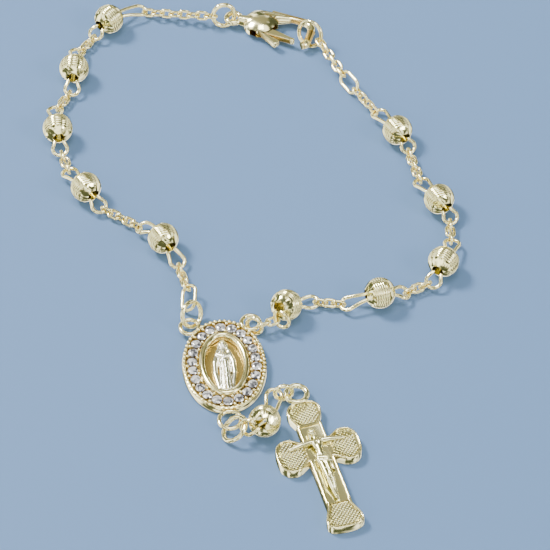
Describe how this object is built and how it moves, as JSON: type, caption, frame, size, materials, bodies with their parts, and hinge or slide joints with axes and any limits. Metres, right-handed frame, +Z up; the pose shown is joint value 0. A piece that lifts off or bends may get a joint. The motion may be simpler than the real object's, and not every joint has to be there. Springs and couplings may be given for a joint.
{
  "type": "rosary bracelet",
  "caption": "Rosary bracelet laid in an open loop: round metal beads on wire links and chain, an oval stone-set medal, a drop bead, a crucifix and a sprung lever clasp.",
  "frame": {"origin": "centre of the laid-out bracelet's outline, on the surface that it lies on", "axes": "+Z up from the surface, +Y along the loop from the crucifix towards the clasp, +X to the right as the crucifix hangs"},
  "size_m": [0.069, 0.1114, 0.005],
  "materials": {
    "bead_gold": "polished pale gold, lathe-cut grooves and bright-cut flats",
    "wire_gold": "polished pale gold wire",
    "ring_gold": "polished pale gold wire",
    "medal_gold": "polished dish, bead-set border",
    "stone": "clear cut stone, bright",
    "figure_metal": "white metal relief, softly polished",
    "cross_gold": "polished rims, finely grained fields",
    "corpus_gold": "cast relief, polished high spots",
    "clasp_gold": "polished pale gold"
  },
  "bodies": {
    "bracelet": {"bead_1": "bead_gold", "bead_2": "bead_gold", "bead_3": "bead_gold", "bead_4": "bead_gold", "bead_5": "bead_gold", "bead_6": "bead_gold", "bead_7": "bead_gold", "bead_8": "bead_gold", "bead_9": "bead_gold", "bead_10": "bead_gold", "drop_bead": "bead_gold", "bead_link_1": "wire_gold", "bead_link_2": "wire_gold", "bead_link_3": "wire_gold", "bead_link_4": "wire_gold", "bead_link_5": "wire_gold", "bead_link_6": "wire_gold", "bead_link_7": "wire_gold", "bead_link_8": "wire_gold", "bead_link_9": "wire_gold", "bead_link_10": "wire_gold", "drop_link": "wire_gold", "tail_chain": "wire_gold", "chain_1": "wire_gold", "chain_2": "wire_gold", "chain_3": "wire_gold", "chain_4": "wire_gold", "chain_5": "wire_gold", "chain_6": "wire_gold", "chain_7": "wire_gold", "chain_8": "wire_gold", "chain_9": "wire_gold", "chain_10": "wire_gold", "chain_11": "wire_gold", "chain_12": "wire_gold", "oval_link_left": "wire_gold", "oval_link_right": "wire_gold", "ring_top_left": "ring_gold", "ring_top_right": "ring_gold", "ring_foot": "ring_gold", "ring_cross": "ring_gold", "ring_tail": "ring_gold", "ring_end": "ring_gold", "medal": "medal_gold", "medal_stones": "stone", "medal_figure": "figure_metal", "cross_body": "cross_gold", "corpus": "corpus_gold", "clasp_body": "clasp_gold"},
    "lever": {"clasp_lever": "clasp_gold"}
  },
  "joints": [
    {"name": "clasp_lever_hinge", "type": "hinge", "parent": "bracelet", "child": "lever", "pos_m": [0.00195, 0.04923, 0.00142], "axis": [0, 0, 1], "range_deg": [0, 15], "stiffness_Nm_per_rad": 0.0005, "springref_deg": -17.19}
  ]
}
